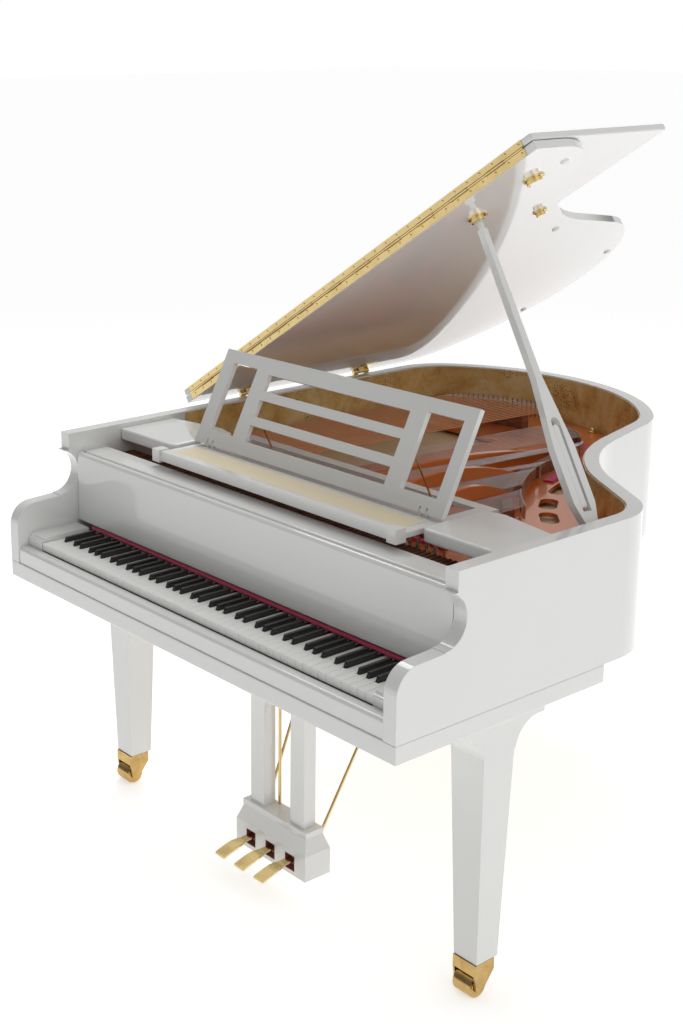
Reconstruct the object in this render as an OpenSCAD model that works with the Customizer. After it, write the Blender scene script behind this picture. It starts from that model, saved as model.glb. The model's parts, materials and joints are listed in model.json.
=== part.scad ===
// Baby grand piano with a propped lid, in millimetres.
// X runs from bass to treble, Y from the player to the tail, Z up from the floor.

/* [Case] */
// overall width of the case
case_w = 1424; // [1380:1:1560]
// height of the rim's top edge above the floor
rim_top = 1030; // [980:1:1060]
// height of the rim's lower edge
rim_bottom = 707; // [680:1:730]
// thickness of the rim and of the two arms
rim_t = 36; // [28:1:44]
// length of the straight treble side, from the key fronts
straight_len = 661; // [600:1:760]
// straight part of the bentside before the tail
bent_len = 195; // [140:1:320]
// thickness of the keybed
keybed_t = 42; // [36:1:52]

/* [Keyboard] */
// width of one white key with its gap
key_pitch = 23.56; // [22.8:0.01:24]
// height of the white keys' top face
key_top = 770; // [750:1:785]
// visible length of a white key
key_len = 150; // [140:1:156]
// how far a key's front edge goes down
key_dip = 10; // [8:0.5:12]

/* [Lid] */
// lid angle on the long prop
lid_angle = 32.5; // [25:0.5:45]
// thickness of the lid boards
lid_t = 20; // [16:1:26]
// depth of the folding front flap
flap_len = 470; // [380:1:500]
// distance of the fold line behind the key fronts
fold_y = 568; // [540:1:620]
// lid overhang outside the rim
lid_over = 14; // [6:1:24]

/* [Music desk] */
// width of the music desk
desk_w = 880; // [800:1:960]
// height of the music desk along its slope
desk_h = 252; // [220:1:280]
// lean of the music desk back from upright
desk_lean = 27; // [15:1:35]
// thickness of the desk frame
desk_t = 14; // [11:1:18]

/* [Legs and lyre] */
// half width of a leg under its bracket
leg_top = 48; // [42:1:56]
// half width of a leg at its foot
leg_foot = 33; // [28:1:40]
// distance of the front leg centres from the middle
leg_x = 640; // [600:1:650]
// caster wheel radius
wheel_r = 27; // [22:1:32]
// width of a caster wheel
wheel_w = 52; // [36:1:54]
// half width of the lyre box
lyre_hw = 131; // [115:1:145]
// width of a pedal
pedal_w = 36; // [26:1:44]

/* [Hidden] */
$fn = 48;
hw = case_w / 2;
k = hw / 712;
in_x = hw - rim_t;
key_n = 52;
key_half = key_pitch * key_n / 2;
slip_y = -36;
slip_r = 9;
slip_d = -slip_y - 6;
slip_h = key_top - 20 - rim_bottom - slip_r;
block_y = slip_y + slip_d + 3.5;
keybed_z = rim_bottom - keybed_t;
keybed_back = 607;
lid_gap = 8;
lid_n = 6;
axis_z = rim_top + lid_gap;
fold_n = lid_n + lid_t;
leg_y = 299;
tail_leg = [-250 * k, 1322];
caster_h = 87;
board_z = rim_top - 162;
plate_z = board_z + 18;
plate_t = 11;
string_z = plate_z + 56;
hitch_in = 185;
strut_u = [0.22, 0.5, 0.78];
strut_w = 18;

function dir(a) = [cos(a), sin(a)];
r1 = 163 * k;
r2 = 496 * k;
r3 = 275 * k;
r4 = 581 * k;
p0 = [hw, straight_len];
c1 = p0 - r1 * dir(0);
e1 = c1 + r1 * dir(58);
e2 = e1 + 160 * k * dir(148);
c2 = e2 + r2 * dir(58);
e3 = c2 - r2 * dir(14);
e4 = e3 + bent_len * dir(104);
c3 = e4 - r3 * dir(14);
e5 = c3 + r3 * dir(40);
c4 = e5 - r4 * dir(40);
e6 = c4 + r4 * dir(130);
r5 = (e6[0] + hw) / (1 + cos(130));
c5 = e6 - r5 * dir(130);
e7 = [-hw, c5[1]];
tail_y = c4[1] + r4;
y_mid = (slip_y + tail_y + lid_over) / 2;
x_mid = -(lid_over * cos(lid_angle) + (fold_n + lid_t) * sin(lid_angle)) / 2;

// ---- plan outline of the case, set in by d and cut off at y0
module wedge(c, r, a, b)
    intersection() {
        translate(c) circle(r = r, $fn = 180);
        polygon([c, c + 2 * r * dir(a), c + 2 * r * dir((a + b) / 2), c + 2 * r * dir(b)]);
    }

module outline(d, y0)
    difference() {
        union() {
            polygon([[-hw + d, y0], [hw - d, y0], p0 - d * dir(0), c1, e1 - d * dir(58),
                e2 - d * dir(58), e3 - d * dir(14), e4 - d * dir(14), c3, e5 - d * dir(40), c4,
                e6 - d * dir(130), c5, e7 - d * dir(180)]);
            wedge(c1, r1 - d, 0, 58);
            wedge(c3, r3 - d, 14, 40);
            wedge(c4, r4 - d, 40, 130);
            wedge(c5, r5 - d, 130, 180);
        }
        translate(c2) circle(r = r2 + d, $fn = 180);
    }

module slab(d, y0, z, h) translate([0, 0, z]) linear_extrude(h) outline(d, y0);

function arc(c, r, a, b) = let (n = ceil(abs(b - a) / 3)) [for (i = [0:n]) c + r * dir(a + (b - a) * i / n)];

function curve(d, y0) = concat([[hw - d, y0]], arc(c1, r1 - d, 0, 58), arc(c2, -(r2 + d), 58, 14),
    arc(c3, r3 - d, 14, 40), arc(c4, r4 - d, 40, 130), arc(c5, r5 - d, 130, 180), [[-hw + d, y0]]);

// a narrow band that follows the rim's inner face
module band(d0, d1, y0, z, h) {
    back = curve(d1, y0);
    translate([0, 0, z]) linear_extrude(h)
        polygon(concat(curve(d0, y0), [for (i = [1:len(back)]) back[len(back) - i]]));
}

// a side-view profile in the YZ plane, extruded from x0 over w
module side(x0, w) translate([x0, 0, 0]) rotate([90, 0, 90]) linear_extrude(w) children();

module box(x0, x1, y0, y1, z0, z1) translate([x0, y0, z0]) cube([x1 - x0, y1 - y0, z1 - z0]);

module arm(x0)
    side(x0, rim_t) difference() {
        union() {
            polygon([[slip_y, rim_bottom], [301, rim_bottom], [301, rim_top], [130, rim_top],
                [130, 985], [98, 985], [98, 866], [21, 863], [21, 806], [slip_y, 806]]);
            translate([21, 806]) circle(r = 57);
        }
        translate([98, 928]) circle(r = 60);
    }

// ---- case
module rim() color("white") union() {
    translate([0, 0, rim_bottom]) linear_extrude(rim_top - rim_bottom) difference() {
        outline(0, 300);
        outline(rim_t, 299);
    }
    arm(-hw);
    arm(hw - rim_t);
}

module rim_veneer() color("goldenrod") band(rim_t + 0.6, rim_t + 3, 520, board_z, rim_top - 4 - board_z);

module keybed() color("white") box(-hw, hw, slip_y, keybed_back, keybed_z, rim_bottom);

module key_slip() color("white")
    side(-in_x + 0.4, 2 * in_x - 0.8) union() {
        translate([slip_y + 3, rim_bottom]) square([slip_d, slip_h]);
        translate([slip_y + 3 + slip_r, rim_bottom + slip_h]) circle(r = slip_r);
        translate([slip_y + 3 + slip_r, rim_bottom + slip_h]) square([slip_d - slip_r, slip_r]);
    }

module key_blocks() color("white")
    for (s = [-1, 1]) side(s > 0 ? key_half + 1.5 : -in_x + 0.4, in_x - key_half - 1.9)
        difference() {
            union() {
                translate([block_y, rim_bottom]) square([146 - block_y, 76]);
                translate([block_y, rim_bottom + 64]) circle(r = 2);
            }
            translate([block_y, rim_bottom + 76]) circle(r = 8);
        }

module braces() color("burlywood") {
    box(-in_x + 60, in_x - 60, keybed_back + 4, keybed_back + 74, rim_bottom, rim_bottom + 110);
    for (x = [-460, tail_leg[0], 20]) box(x - 30, x + 30, keybed_back + 74,
        tail_leg[1] + (x == tail_leg[0] ? leg_top + 6 : -90), rim_bottom, rim_bottom + 100);
}

module liner() color("white") band(rim_t + 0.6, rim_t + 56, 320, rim_bottom, board_z - rim_bottom);

module soundboard() color("tan") slab(rim_t + 3.5, 470, board_z, 8);

// lines that follow the bentside and the tail, set in by d
function bent_line(d, a, b) = concat(arc(c2, -(r2 + d), a, 14), arc(c3, r3 - d, 14, 40), arc(c4, r4 - d, 40, b));

module strip(front, back, z, h) translate([0, 0, z]) linear_extrude(h)
    polygon(concat(front, [for (i = [1:len(back)]) back[len(back) - i]]));

module treble_bridge(gap, z, h) strip(bent_line(205 - gap, 48 + gap / 12, 66 + gap / 12),
    bent_line(231 + gap, 48 + gap / 12, 66 + gap / 12), z, h);

module bass_bridge(gap, z, h) strip(arc(c4, r4 - 180 + gap, 92 - gap / 12, 128 + gap / 12),
    arc(c4, r4 - 208 - gap, 92 - gap / 12, 128 + gap / 12), z, h);

module bridges() color("sienna") {
    difference() {
        treble_bridge(0, board_z + 8, 52);
        for (u = strut_u) on_strut(u) translate([0, -strut_w / 2 - 4, -20]) cube([strut_len(u) + 60, strut_w + 8, 90]);
    }
    bass_bridge(0, board_z + 8, 66);
}

// string number u, from 0 at the treble end to 1 at the tenor end
function pin_end(u) = [(330 - 600 * u) * k, 500];
function hitch_end(u) = u < 0.6 ? c2 - (r2 + hitch_in) * dir(50 - 60 * u)
    : u < 0.75 ? c3 + (r3 - hitch_in) * dir(14 + 173.3 * (u - 0.6))
    : c4 + (r4 - hitch_in) * dir(40 + 128 * (u - 0.75));
function along(u, t) = pin_end(u) + t * (hitch_end(u) - pin_end(u));
function bass_pin(u) = [(-600 + 260 * u) * k, 500];
function bass_hitch(u) = c4 + (r4 - 110) * dir(128 - 44 * u);

module window(u, v) polygon([along(u, 0.1), along(v, 0.1), along(v, 0.82), along(u, 0.82)]);

module oval(p, a, l, w)
    translate(p) rotate(a) union() {
        square([l - w, w], center = true);
        for (s = [-1, 1]) translate([s * (l - w) / 2, 0]) circle(r = w / 2);
    }

function strut_len(u) = norm(hitch_end(u) - pin_end(u)) + 8;

// a frame on the plate whose X follows string line u
module on_strut(u) {
    v = hitch_end(u) - pin_end(u);
    translate([pin_end(u)[0], pin_end(u)[1], plate_z + plate_t - 3]) rotate(atan2(v[1], v[0])) children();
}

module strut(u, w, h) {
    l = strut_len(u);
    on_strut(u) translate([0, w / 2, 0]) rotate([90, 0, 0]) linear_extrude(w)
        polygon([for (i = [0:16]) [l * i / 16, i == 0 || i == 16 ? 0 : 4 + h * pow(sin(180 * i / 16), 0.8)]]);
}

module iron_plate() color("chocolate") union() {
    difference() {
        translate([0, 0, plate_z]) linear_extrude(plate_t) difference() {
            outline(rim_t + 6, 345);
            window(0.03, 0.19);
            window(0.25, 0.47);
            window(0.53, 0.75);
            window(0.81, 0.97);
            polygon([[-610 * k, 560], [-330 * k, 560], [-235 * k, tail_y - 361], [-540 * k, tail_y - 361]]);
            oval(c2 - (r2 + 118) * dir(46), 136, 92, 46);
            oval(c2 - (r2 + 118) * dir(35), 125, 92, 46);
            oval(c2 - (r2 + 112) * dir(21), 111, 120, 52);
            translate([548 * k, 690]) circle(r = 44);
        }
        treble_bridge(3, plate_z - 1, plate_t + 2);
        bass_bridge(3, plate_z - 1, plate_t + 2);
    }
    for (u = strut_u) strut(u, strut_w, u > 0.7 ? 56 : 80);
}

module plate_bolts() color("gold") {
    for (p = [[-640, 700], [-640, 1000], [-620, 1300], [-420, 1560], [-120, 1610], [90, 1440],
        [180, 1290], [640, 560], [600, 745]])
        translate([p[0] * k, p[1], plate_z + plate_t]) union() {
            cylinder(r = 11, h = 3);
            cylinder(r = 7, h = 9, $fn = 6);
        }
}

module wire(a, b, z, r) {
    v = b - a;
    translate([a[0], a[1], z]) rotate(atan2(v[1], v[0])) rotate([0, 90, 0])
        cylinder(r = r, h = norm(v), $fn = 14);
}

module tuning_pins() color("silver")
    for (i = [0:57]) for (j = [0:1])
        translate([(-600 + i * 17.4) * k, 400 + j * 34 + (i % 3) * 9, plate_z + plate_t])
            cylinder(r = 3.2, h = 34, $fn = 14);

module treble_strings() color("silver")
    for (i = [0:66]) if (min([for (u = strut_u) abs(i / 66 - u)]) > 0.024)
        wire(pin_end(i / 66), hitch_end(i / 66), string_z, 0.8);

module bass_strings() color("peru")
    for (i = [0:23]) wire(bass_pin(i / 23), bass_hitch(i / 23), string_z + 14, 1.9);

module string_felts() color("crimson") {
    box(-612 * k, 345 * k, 482, 496, plate_z + plate_t, plate_z + plate_t + 8);
    box(-key_half, key_half, fall_y - 12, fall_y + 6, key_top + 7, key_top + 13.5);
    strip(bent_line(150, 18, 62), bent_line(178, 18, 62), plate_z + plate_t, 6);
}

module action_rail() color("saddlebrown") {
    box(-key_half, key_half, 205, 232, rim_bottom, key_top - 22);
    box(-in_x + 57, in_x - 57, 300, 330, board_z - 33, board_z);
    for (x = [-600, -200, 200, 600]) box(x - 8, x + 8, 300, 330, rim_bottom, board_z - 33);
}

module hammers() color("sienna")
    for (i = [0:87]) side(-598 + i * 13.7, 8.5) translate([0, string_z]) polygon([[232, -86], [299, -92],
        [299, -84], [252, -80], [252, -46], [236, -42], [228, -62]]);

wing_x = desk_w / 2 + 3;
wing_r = 22;

module wing(s) translate([0, 0, rim_top - 44]) linear_extrude(32) mirror([s > 0 ? 0 : 1, 0]) union() {
    polygon([[wing_x, 298 + wing_r], [wing_x + wing_r, 298], [in_x - 0.5, 298], [in_x - 0.5, 480],
        [wing_x + 57, 512], [wing_x, 498]]);
    translate([wing_x + wing_r, 298 + wing_r]) circle(r = wing_r);
}

module wings_and_ledge() color("white") {
    for (s = [-1, 1]) wing(s);
    box(-in_x + 0.5, in_x - 0.5, 178, 254, rim_top - 70, rim_top - 54);
    box(-in_x + 0.5, in_x - 0.5, 178, 192, rim_top - 110, rim_top - 69);
}

// ---- legs and casters
module leg_body(x, y)
    translate([x, y, caster_h]) difference() {
        linear_extrude(keybed_z - 45 - caster_h, scale = leg_top / leg_foot)
            square(2 * leg_foot, center = true);
        translate([0, 0, -1]) cylinder(r = 7.08, h = 46);
    }

module front_leg(s) color("white") union() {
    leg_body(s * leg_x, leg_y);
    side(s * leg_x - leg_top, 2 * leg_top) difference() {
        translate([leg_y - leg_top - 92, keybed_z - 85]) square([2 * leg_top + 184, 85]);
        for (t = [-1, 1]) translate([leg_y + t * (leg_top + 72), keybed_z - 98]) circle(r = 72);
        for (t = [-1, 1]) translate([leg_y + t * (leg_top + 82) - 12, keybed_z - 98]) square([24, 72]);
    }
}

module leg_tail() color("white") union() {
    leg_body(tail_leg[0], tail_leg[1]);
    translate([tail_leg[0], tail_leg[1], keybed_z - 45])
        linear_extrude(rim_bottom + 45 - keybed_z) square(2 * leg_top, center = true);
}

trail = 18;
cheek_t = 5;

module caster_fork(x, y) color("gold") translate([x, y, 0]) union() {
    translate([-wheel_w / 2 - 2 - cheek_t, -36, 2 * wheel_r + 4])
        cube([wheel_w + 4 + 2 * cheek_t, 60, caster_h - 1 - 2 * wheel_r - 4]);
    translate([0, 0, 2 * wheel_r + 10]) cylinder(r = 7, h = caster_h + 40 - 2 * wheel_r - 10);
    for (s = [-1, 1]) side(s > 0 ? wheel_w / 2 + 2 : -wheel_w / 2 - 2 - cheek_t, cheek_t) union() {
        polygon([[24, 2 * wheel_r + 5], [-36, 2 * wheel_r + 5], [-31, wheel_r - 4], [-6, wheel_r - 4]]);
        translate([-trail, wheel_r]) circle(r = 13);
    }
    translate([-wheel_w / 2 - 3, -trail, wheel_r]) rotate([0, 90, 0]) cylinder(r = 4, h = wheel_w + 6);
}

module caster_wheel(x, y) color("goldenrod")
    translate([x - wheel_w / 2, y - trail, wheel_r]) rotate([0, 90, 0]) difference() {
        cylinder(r = wheel_r, h = wheel_w);
        translate([0, 0, -1]) cylinder(r = 4.08, h = wheel_w + 2);
    }

// ---- lyre and pedals
lyre_y = 255;
lyre_d = 82;
lyre_in = 14;
pedal_x = [-74, 0, 74];
neck_w = 22;

module lyre() color("white") union() {
    difference() {
        union() {
            box(-lyre_hw, lyre_hw, lyre_y, lyre_y + lyre_d, 40, 108);
            translate([0, lyre_y + lyre_d / 2, 107]) linear_extrude(40,
                scale = [1 - lyre_in / lyre_hw, 1 - 2 * lyre_in / lyre_d])
                square([2 * lyre_hw, lyre_d], center = true);
            box(-lyre_hw + lyre_in - 2, lyre_hw - lyre_in + 2, lyre_y + lyre_in - 2,
                lyre_y + lyre_d - lyre_in + 2, 146, 161);
        }
        for (x = pedal_x) box(x - neck_w / 2 - 6, x + neck_w / 2 + 6, lyre_y - 1, lyre_y + lyre_d + 1, 52, 92);
    }
    for (s = [-1, 1]) box(s * 75 - 25, s * 75 + 25, lyre_y + 22, lyre_y + 60, 160, keybed_z - 20);
    box(-118, 118, lyre_y + 6, lyre_y + 76, keybed_z - 22, keybed_z);
    for (x = pedal_x) translate([x - neck_w / 2 - 6.5, lyre_y + 50, 78]) rotate([0, 90, 0])
        cylinder(r = 3, h = neck_w + 13);
}

module rod(a, b, r) {
    v = b - a;
    l = norm(v);
    translate(a) rotate([0, acos(v[2] / l), atan2(v[1], v[0])]) cylinder(r = r, h = l);
}

module lyre_braces() color("gold") {
    for (s = [-1, 1]) {
        rod([s * 100, lyre_y + lyre_d - 5.6, 132], [s * 150, 600, keybed_z - 2], 4);
        translate([s * 37, lyre_y + lyre_d - lyre_in - 4, 161]) cylinder(r = 4, h = keybed_z - 22 - 161);
    }
}

module pedal(x) color("gold")
    difference() {
        union() {
            side(x - neck_w / 2, neck_w) union() {
                polygon([[lyre_y - 30, 72], [lyre_y + 66, 74], [lyre_y + 66, 82], [lyre_y - 30, 80]]);
                translate([lyre_y + 50, 78]) circle(r = 7);
            }
            side(x - pedal_w / 2, pedal_w) polygon([[lyre_y - 29, 72], [lyre_y - 29, 80],
                [lyre_y - 60, 77], [lyre_y - 103, 64], [lyre_y - 103, 57], [lyre_y - 60, 69]]);
        }
        translate([x - pedal_w, lyre_y + 50, 78]) rotate([0, 90, 0]) cylinder(r = 3.08, h = 2 * pedal_w);
    }

// ---- lid, drawn shut about the hinge axis and then raised
module raise(a = lid_angle) translate([-hw, 0, axis_z]) rotate([0, -a, 0]) translate([hw, 0, 0]) children();

hinge_y = [780, 1230];

module main_lid() color("white") raise() difference() {
    translate([0, 0, lid_n]) linear_extrude(lid_t) outline(-lid_over, fold_y + 2);
    for (y = hinge_y) box(-hw - 20, -hw + 62, y - 33, y + 33, lid_n - 1, lid_n + 2);
}

module lid_hinge_leaves() color("gold") raise() for (y = hinge_y) difference() {
    union() {
        box(-hw + 3, -hw + 61, y - 32, y + 32, lid_n - 0.5, lid_n + 1.9);
        translate([-hw, y - 12, 0]) rotate([-90, 0, 0]) cylinder(r = 6, h = 24);
        box(-hw, -hw + 8, y - 12, y + 12, 0, lid_n + 1.9);
    }
    translate([-hw, y - 40, 0]) rotate([-90, 0, 0]) cylinder(r = 3.08, h = 80);
}

module lid_hinge_base() color("gold") for (y = hinge_y) union() {
    translate([-hw, y - 31, axis_z]) rotate([-90, 0, 0]) cylinder(r = 3, h = 62);
    for (s = [-1, 1]) translate([-hw, s > 0 ? y + 13 : y - 31, axis_z]) rotate([-90, 0, 0]) cylinder(r = 6, h = 18);
    for (s = [-1, 1]) box(-hw - 4, -hw + 4, s > 0 ? y + 13 : y - 31, s > 0 ? y + 31 : y - 13, rim_top, axis_z);
}

fold_w = 2 * hw + 2 * lid_over;
fold_axis = fold_y - 1.6;
fold_x = -hw - lid_over + 30;
fold_pitch = (fold_w - 60) / 23;

module fold_bore(r) translate([-hw - lid_over, fold_axis, fold_n]) rotate([0, 90, 0])
    cylinder(r = r, h = fold_w, $fn = 24);

module fold_knuckles(odd) for (i = [odd:2:22])
    translate([fold_x + i * fold_pitch, fold_axis, fold_n]) rotate([0, 90, 0])
        cylinder(r = 3.4, h = fold_pitch - (odd ? 1.2 : 0.4), $fn = 24);

// tabs that join every second knuckle to its leaf
module fold_tabs(odd, z0, z1) for (i = [odd:2:22])
    box(fold_x + i * fold_pitch, fold_x + (i + 1) * fold_pitch - (odd ? 1.2 : 0.4), fold_y, fold_y + 1.6, z0, z1);

module fold_leaf_lid() color("gold") raise() union() {
    difference() {
        box(fold_x, -fold_x, fold_y + 0.2, fold_y + 2, lid_n + 1, fold_n - 1);
        fold_bore(3.9);
    }
    fold_knuckles(0);
    fold_tabs(0, fold_n - 5, fold_n - 1);
    translate([fold_x, fold_axis, fold_n]) rotate([0, 90, 0]) cylinder(r = 1.5, h = fold_w - 60, $fn = 24);
}

module fold_leaf_flap() color("gold") raise() difference() {
    union() {
        box(fold_x, -fold_x, fold_y + 0.2, fold_y + 2, fold_n + 4.2, fold_n + lid_t - 1);
        fold_knuckles(1);
        fold_tabs(1, fold_n + 1, fold_n + 5);
    }
    fold_bore(1.58);
}

module front_flap() color("white") raise() union() {
    box(-hw - lid_over, hw + lid_over, fold_y + 2, fold_y + flap_len, fold_n + 3, fold_n + lid_t);
    box(hw - 190, hw - 120, fold_y + flap_len - 40, fold_y + flap_len - 22, fold_n + lid_t, fold_n + lid_t + 14);
}

cup_s = 1108 * k;
cup_y = 700;

module cup(s, y, r) raise() translate([-hw + s, y, 0]) union() {
    translate([0, 0, lid_n - 4]) cylinder(r = r, h = 4);
    difference() {
        translate([0, 0, lid_n - 14]) cylinder(r = r - 5, h = 11);
        translate([0, 0, lid_n - 15]) cylinder(r = r - 9, h = 11);
        translate([-r, 0, lid_n - 15]) cube([2 * r, r, 11]);
    }
}

module prop_cups() color("gold") {
    cup(cup_s, cup_y, 24);
    cup(1291 * k, 711, 26);
    cup(1096 * k, 935, 18);
}

module lid_bumpers() color("white") raise()
    for (p = [[1365, 739], [964, 1135], [738, 1600], [325, 1660]])
        translate([-hw + p[0] * k, p[1], lid_n - 5]) cylinder(r = 10, h = 5);

// ---- prop: base at the treble rim, foot of the cup above
prop_b = [hw - rim_t - 22, 612, rim_top - 30];
prop_tip = [-hw + cup_s * cos(lid_angle), cup_y, axis_z + cup_s * sin(lid_angle)];
prop_v = prop_tip - prop_b;
prop_l = norm(prop_v) - 3;
prop_ax = atan2(-prop_v[0], prop_v[2]);
prop_ay = asin(prop_v[1] / norm(prop_v));

module prop_frame() translate(prop_b) rotate([0, -prop_ax, 0]) rotate([-prop_ay, 0, 0]) children();

module prop_bracket() color("gold") intersection() {
    union() {
        prop_frame() union() {
            translate([-13, 0, 0]) rotate([0, 90, 0]) cylinder(r = 5, h = 50);
            translate([-13, 0, 0]) rotate([0, 90, 0]) cylinder(r = 9, h = 2.5);
            translate([10.5, 0, 0]) rotate([0, 90, 0]) cylinder(r = 12, h = 30);
        }
        box(in_x - 8, in_x, prop_b[1] - 24, prop_b[1] + 24, rim_top - 33, rim_top - 4);
    }
    box(0, in_x - 3, 0, straight_len + 100, rim_bottom, rim_top);
}

module prop_stick() color("white") prop_frame() union() {
    translate([0, -14, 56]) rotate([-90, 0, 0]) cylinder(r = 2.5, h = 28);
    difference() {
        union() {
            translate([-9, 0, 0]) rotate([90, 0, 90]) linear_extrude(18) union() {
                circle(r = 16);
                polygon([[-16, 0], [16, 0], [34, 60], [34, 190], [11, 360], [8, prop_l - 26],
                    [-8, prop_l - 26], [-11, 360], [-34, 190], [-34, 60]]);
            }
            translate([0, 0, prop_l - 28]) cylinder(r = 7, h = 28);
        }
        translate([-15, 0, 0]) rotate([0, 90, 0]) cylinder(r = 5.08, h = 30);
        translate([-10, 0, 0]) rotate([90, 0, 90]) linear_extrude(20) union() {
            translate([-13, 40]) square([26, 210]);
            translate([0, 250]) circle(r = 13);
        }
    }
}

module half_stick() color("white") prop_frame() difference() {
    union() {
        translate([-6, 0, 0]) rotate([90, 0, 90]) linear_extrude(12) union() {
            translate([-9, 56]) square([18, 182]);
            translate([0, 238]) circle(r = 9);
        }
        translate([0, -9, 56]) rotate([-90, 0, 0]) cylinder(r = 6, h = 18);
    }
    translate([0, -15, 56]) rotate([-90, 0, 0]) cylinder(r = 2.58, h = 30);
}

// ---- music shelf, desk and struts
shelf_z = rim_top - 40;
shelf_hw = 424;
desk_y = 378;
desk_z = rim_top - 8;

module music_shelf() color("white") union() {
    box(-shelf_hw, shelf_hw, 236, 258, shelf_z + 4, shelf_z + 30);
    for (s = [-1, 1]) box(s * shelf_hw - 14, s * shelf_hw + 14, 230, 262, shelf_z, shelf_z + 33);
    box(-shelf_hw - 12, shelf_hw + 12, 257, 400, shelf_z + 8, shelf_z + 20);
    for (s = [-1, 1]) box(s * (shelf_hw - 8) - 20, s * (shelf_hw - 8) + 20, 399, 560, shelf_z + 4, shelf_z + 14);
    box(-shelf_hw - 12, shelf_hw + 12, 528, 560, shelf_z + 4, shelf_z + 14);
    for (s = [-1, 1]) box(s * 380 - 12, s * 380 + 12, desk_y - 14, desk_y + 10, shelf_z + 19, desk_z - 11);
    for (s = [-1, 1]) translate([s * 380 - 12, desk_y, desk_z]) rotate([0, 90, 0]) cylinder(r = 3, h = 24);
    for (s = [-1, 1]) box(s * 380 - 12, s * 380 - 8, desk_y - 5, desk_y + 5, desk_z - 12, desk_z + 4);
    for (s = [-1, 1]) box(s * 380 + 8, s * 380 + 12, desk_y - 5, desk_y + 5, desk_z - 12, desk_z + 4);
}

module lean() translate([0, desk_y, desk_z]) rotate([-desk_lean, 0, 0]) children();

desk_row = (desk_h - 48) / 3;

module desk_slots() {
    l = -desk_w / 2;
    translate([l + 42, 34]) square([94, desk_h - 68]);
    for (i = [0:2]) translate([l + 184, 30 + i * desk_row]) square([desk_w - 380, desk_row - 24]);
    translate([-l - 34 - 112, 34]) square([112, desk_h - 68]);
}

module music_desk() color("white") lean() difference() {
    translate([0, desk_t / 2, 0]) rotate([90, 0, 0]) linear_extrude(desk_t) difference() {
        translate([-desk_w / 2, -6]) square([desk_w, desk_h + 6]);
        desk_slots();
        for (s = [-1, 1]) translate([s * 380 - 13.5, -9]) square([5.5, 17]);
        for (s = [-1, 1]) translate([s * 380 + 8, -9]) square([5.5, 17]);
    }
    for (s = [-1, 1]) translate([s * 380 - 20, 0, 0]) rotate([0, 90, 0]) cylinder(r = 3.08, h = 40);
}

module desk_struts() color("gold") lean() for (s = [-1, 1]) union() {
    translate([s * 282 - 6, desk_t / 2 + 5, 120]) rotate([0, 90, 0]) cylinder(r = 4, h = 12);
    translate([s * 282, desk_t / 2 + 5, 120]) rotate([180 + 54, 0, 0]) cylinder(r = 2.5, h = 128);
}

// ---- fallboard, drawn open
fall_y = 165;
fall_z = 801;

module fallboard() color("white")
    side(-in_x + 1.2, 2 * in_x - 2.4) union() {
        polygon([[155, fall_z - 12], [171, fall_z - 12], [171, rim_top - 60], [155, rim_top - 64]]);
        translate([165, rim_top - 64]) circle(r = 10);
    }

// ---- keys
function letter(n) = (n + 5) % 7;
function has_sharp(n) = n < 51 && (letter(n) == 0 || letter(n) == 1 || letter(n) == 3 || letter(n) == 4 || letter(n) == 5);
function sharp_off(n) = letter(n) == 0 ? -2.3 : letter(n) == 1 ? 2.3 : letter(n) == 3 ? -3.4 : letter(n) == 4 ? 0 : 3.4;
function key_x(n) = -key_half + n * key_pitch;
function sharp_x(n) = key_x(n + 1) + sharp_off(n);
function cut_l(n) = n > 0 && has_sharp(n - 1) ? sharp_x(n - 1) + 6.2 : key_x(n) + 0.5;
function cut_r(n) = has_sharp(n) ? sharp_x(n) - 6.2 : key_x(n + 1) - 0.5;

module natural(n) translate([0, 0, key_top - 20]) linear_extrude(20)
    polygon([[key_x(n) + 0.5, 0], [key_x(n + 1) - 0.5, 0], [key_x(n + 1) - 0.5, 50], [cut_r(n), 50],
        [cut_r(n), 232], [cut_l(n), 232], [cut_l(n), 50], [key_x(n) + 0.5, 50]]);

module sharp(n) side(sharp_x(n) - 5, 10)
    polygon([[51.5, key_top - 20], [232, key_top - 20], [232, key_top], [key_len - 3, key_top], [key_len - 4, key_top + 12],
        [57, key_top + 12], [52.5, key_top + 2]]);

module naturals(a, b) color("white") for (n = [a:b]) natural(n);
module sharps(a, b) color("black") for (n = [a:b]) if (has_sharp(n)) sharp(n);

module place() translate([-x_mid, -y_mid, 0]) children();

place() rim();
place() rim_veneer();
place() keybed();
place() key_slip();
place() key_blocks();
place() braces();
place() liner();
place() soundboard();
place() bridges();
place() iron_plate();
place() plate_bolts();
place() tuning_pins();
place() treble_strings();
place() bass_strings();
place() string_felts();
place() action_rail();
place() hammers();
place() wings_and_ledge();
place() front_leg(-1);  // leg_bass
place() front_leg(1);  // leg_treble
place() leg_tail();
place() lyre();
place() lyre_braces();
place() lid_hinge_base();
place() prop_bracket();
place() main_lid();
place() lid_hinge_leaves();
place() fold_leaf_lid();
place() prop_cups();
place() lid_bumpers();
place() front_flap();
place() fold_leaf_flap();
place() prop_stick();
place() half_stick();
place() music_shelf();
place() music_desk();
place() desk_struts();
place() fallboard();
place() pedal(pedal_x[0]);  // pedal_left
place() pedal(pedal_x[1]);  // pedal_middle
place() pedal(pedal_x[2]);  // pedal_right
place() caster_fork(-leg_x, leg_y);  // fork_bass
place() caster_fork(leg_x, leg_y);  // fork_treble
place() caster_fork(tail_leg[0], tail_leg[1]);  // fork_tail
place() caster_wheel(-leg_x, leg_y);  // wheel_bass
place() caster_wheel(leg_x, leg_y);  // wheel_treble
place() caster_wheel(tail_leg[0], tail_leg[1]);  // wheel_tail
place() naturals(0, 22);  // naturals_bass
place() naturals(30, 51);  // naturals_treble
place() sharps(0, 22);  // sharps_bass
place() sharps(29, 50);  // sharps_treble
place() naturals(23, 23);  // key_c4
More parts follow.
